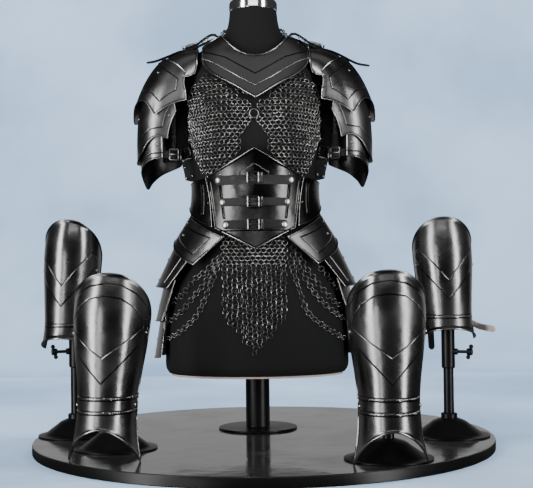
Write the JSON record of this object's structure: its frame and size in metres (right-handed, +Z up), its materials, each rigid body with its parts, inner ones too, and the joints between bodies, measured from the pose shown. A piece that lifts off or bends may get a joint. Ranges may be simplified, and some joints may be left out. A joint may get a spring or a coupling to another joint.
{
  "type": "suit of plate armour on a limbless dress form with arm and leg guard stands",
  "caption": "Blackened plate and mail torso armour on a limbless dress form, with forearm and shin guards on small stands, all on one round display platform.",
  "frame": {"origin": "centre of the round platform's underside, on the floor", "axes": "+Z up, the suit faces -Y, +X is to the viewer's right from the front"},
  "size_m": [0.86, 0.86, 0.875],
  "materials": {
    "plate_steel": "satin",
    "mail_steel": "satin",
    "chain_steel": "satin",
    "strap_leather": "satin",
    "form_cloth": "matte",
    "neck_chrome": "polished",
    "board_wood": "satin",
    "stand_paint": "gloss",
    "platform_paint": "satin"
  },
  "bodies": {
    "root": {"platform": "platform_paint", "main_pole": "stand_paint", "form_board": "board_wood", "dress_form": "form_cloth", "neck_cap": "neck_chrome", "gorget": "plate_steel", "neck_chain": "chain_steel", "shoulder_strap_left": "strap_leather", "pauldron_left_1": "plate_steel", "pauldron_left_2": "plate_steel", "pauldron_left_3": "plate_steel", "pauldron_left_4": "plate_steel", "arm_strap_left": "strap_leather", "shoulder_strap_right": "strap_leather", "pauldron_right_1": "plate_steel", "pauldron_right_2": "plate_steel", "pauldron_right_3": "plate_steel", "pauldron_right_4": "plate_steel", "arm_strap_right": "strap_leather", "mail_top": "mail_steel", "mail_band": "mail_steel", "bust_ring": "chain_steel", "corset_front": "plate_steel", "corset_side_left": "plate_steel", "corset_side_right": "plate_steel", "corset_back": "plate_steel", "corset_strap_1": "strap_leather", "corset_strap_2": "strap_leather", "corset_strap_3": "strap_leather", "tasset_left_1": "plate_steel", "tasset_left_2": "plate_steel", "tasset_left_3": "plate_steel", "tasset_left_4": "plate_steel", "tasset_right_1": "plate_steel", "tasset_right_2": "plate_steel", "tasset_right_3": "plate_steel", "tasset_right_4": "plate_steel", "mail_skirt": "mail_steel", "hip_chains_left": "chain_steel", "hip_chains_right": "chain_steel", "arm_stand_base_left": "stand_paint", "arm_stand_base_right": "stand_paint", "leg_stand_left": "stand_paint", "greave_left": "plate_steel", "greave_strap_left_1": "strap_leather", "greave_strap_left_2": "strap_leather", "leg_stand_right": "stand_paint", "greave_right": "plate_steel", "greave_strap_right_1": "strap_leather", "greave_strap_right_2": "strap_leather"},
    "arm_guard_left": {"arm_stand_sleeve_left": "stand_paint", "vambrace_left": "plate_steel", "vambrace_strap_left_1": "strap_leather", "vambrace_strap_left_2": "strap_leather"},
    "clamp_screw_left": {"arm_stand_screw_left": "stand_paint"},
    "arm_guard_right": {"arm_stand_sleeve_right": "stand_paint", "vambrace_right": "plate_steel", "vambrace_strap_right_1": "strap_leather", "vambrace_strap_right_2": "strap_leather"},
    "clamp_screw_right": {"arm_stand_screw_right": "stand_paint"}
  },
  "joints": [
    {"name": "arm_guard_height_left", "type": "slide", "parent": "root", "child": "arm_guard_left", "axis": [0, 0, 1], "range_m": [-0.075, 0.1]},
    {"name": "arm_guard_height_right", "type": "slide", "parent": "root", "child": "arm_guard_right", "axis": [0, 0, 1], "range_m": [-0.075, 0.1]},
    {"name": "clamp_screw_turn_left", "type": "hinge", "parent": "arm_guard_left", "child": "clamp_screw_left", "pos_m": [-0.359, 0.022, 0.179], "axis": [-0.9063, -0.4226, 0], "range_deg": [0, 180]},
    {"name": "clamp_screw_turn_right", "type": "hinge", "parent": "arm_guard_right", "child": "clamp_screw_right", "pos_m": [0.345, -0.035, 0.174], "axis": [0.9063, -0.4226, 0], "range_deg": [0, 180]}
  ]
}
